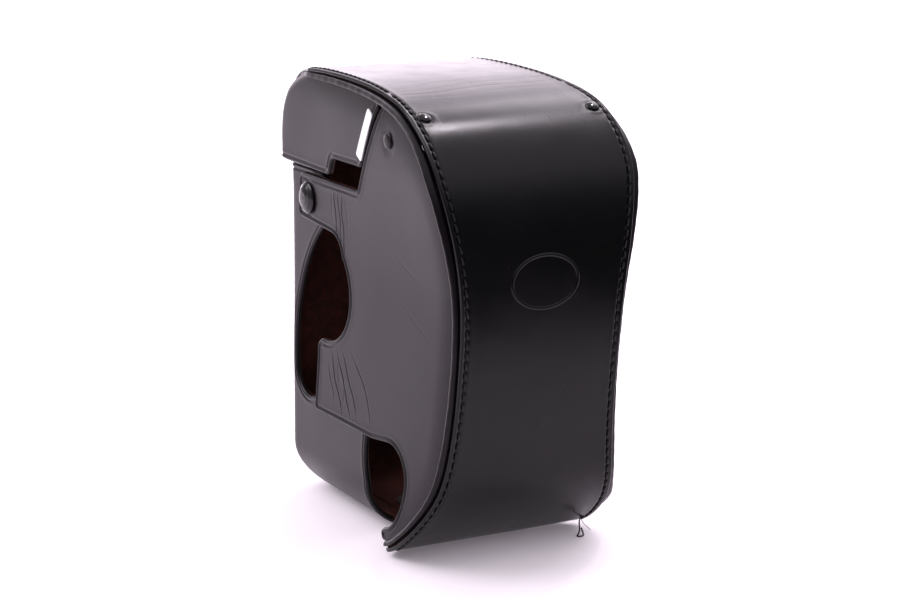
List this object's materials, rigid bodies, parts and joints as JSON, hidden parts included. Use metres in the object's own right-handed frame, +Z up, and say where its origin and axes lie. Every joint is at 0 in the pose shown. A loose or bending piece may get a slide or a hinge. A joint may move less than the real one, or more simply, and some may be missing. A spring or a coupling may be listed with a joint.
{
  "type": "ever-ready camera case",
  "caption": "Stiff leather drop-front camera case: waisted stitched front strip, hinged lid with closing flap, press-stud side tabs, winged rear half and captive tripod screw.",
  "frame": {"origin": "centre of the overall bounding box in plan, on the plane the case stands on", "axes": "+X to the case's own left-to-right width seen from behind, front strip faces -Y, back wall faces +Y, +Z up"},
  "size_m": [0.1052, 0.1781, 0.2105],
  "materials": {
    "black_leather": "smooth glossy black calf",
    "suede_brown": "reddish brown napped suede lining",
    "thread_black": "waxed black thread",
    "black_enamel": "black enamelled, semi gloss",
    "nickel": "nickel plated",
    "bright_plate": "bright polished"
  },
  "bodies": {
    "rear_case": {"rear_shell": "black_leather", "rear_lining": "suede_brown", "stud_left": "nickel", "stud_right": "nickel", "screw_cup": "nickel", "flap_keeper": "black_leather", "keeper_rivet_left": "nickel", "keeper_rivet_right": "nickel"},
    "front_cover": {"front_strip": "black_leather", "front_strip_lining": "suede_brown", "front_side_left": "black_leather", "front_side_right": "black_leather", "front_side_lining_left": "suede_brown", "front_side_lining_right": "suede_brown", "front_welt_left": "black_leather", "front_welt_right": "black_leather", "front_seam_left": "thread_black", "front_seam_right": "thread_black", "strip_rivet_left": "black_enamel", "strip_rivet_right": "black_enamel", "side_rivet_left": "black_enamel", "side_rivet_right": "black_enamel", "front_emblem": "black_leather"},
    "lid": {"lid_strip": "black_leather", "lid_strip_lining": "suede_brown", "lid_side_left": "black_leather", "lid_side_right": "black_leather", "lid_side_lining_left": "suede_brown", "lid_side_lining_right": "suede_brown", "lid_welt_left": "black_leather", "lid_welt_right": "black_leather", "lid_seam_left": "thread_black", "lid_seam_right": "thread_black", "lid_stay_left": "bright_plate", "lid_stay_right": "bright_plate"},
    "closing_flap": {"closing_flap": "black_leather"},
    "left_tab": {"tab_left": "black_leather", "tab_lining_left": "suede_brown", "snap_cap_left": "black_enamel", "snap_socket_left": "nickel"},
    "right_tab": {"tab_right": "black_leather", "tab_lining_right": "suede_brown", "snap_cap_right": "black_enamel", "snap_socket_right": "nickel"},
    "camera_screw": {"camera_screw": "nickel"}
  },
  "joints": [
    {"name": "cover_hinge", "type": "hinge", "parent": "rear_case", "child": "front_cover", "pos_m": [0, -0.02765, 0], "axis": [1, 0, 0], "range_deg": [0, 100]},
    {"name": "lid_hinge", "type": "hinge", "parent": "front_cover", "child": "lid", "pos_m": [0, -0.02965, 0.206], "axis": [1, 0, 0], "range_deg": [0, 110]},
    {"name": "flap_flex", "type": "hinge", "parent": "lid", "child": "closing_flap", "pos_m": [0, 0.08655, 0.163], "axis": [1, 0, 0], "range_deg": [0, 90]},
    {"name": "left_tab_flex", "type": "hinge", "parent": "front_cover", "child": "left_tab", "pos_m": [-0.0461, 0.02735, 0.147], "axis": [0, 0, 1], "range_deg": [0, 70], "stiffness_Nm_per_rad": 0.01},
    {"name": "right_tab_flex", "type": "hinge", "parent": "front_cover", "child": "right_tab", "pos_m": [0.0461, 0.02735, 0.147], "axis": [0, 0, -1], "range_deg": [0, 70], "stiffness_Nm_per_rad": 0.01},
    {"name": "camera_screw_turn", "type": "hinge", "parent": "rear_case", "child": "camera_screw", "pos_m": [0, 0.02235, 0.0036], "axis": [0, 0, 1], "continuous": true}
  ]
}
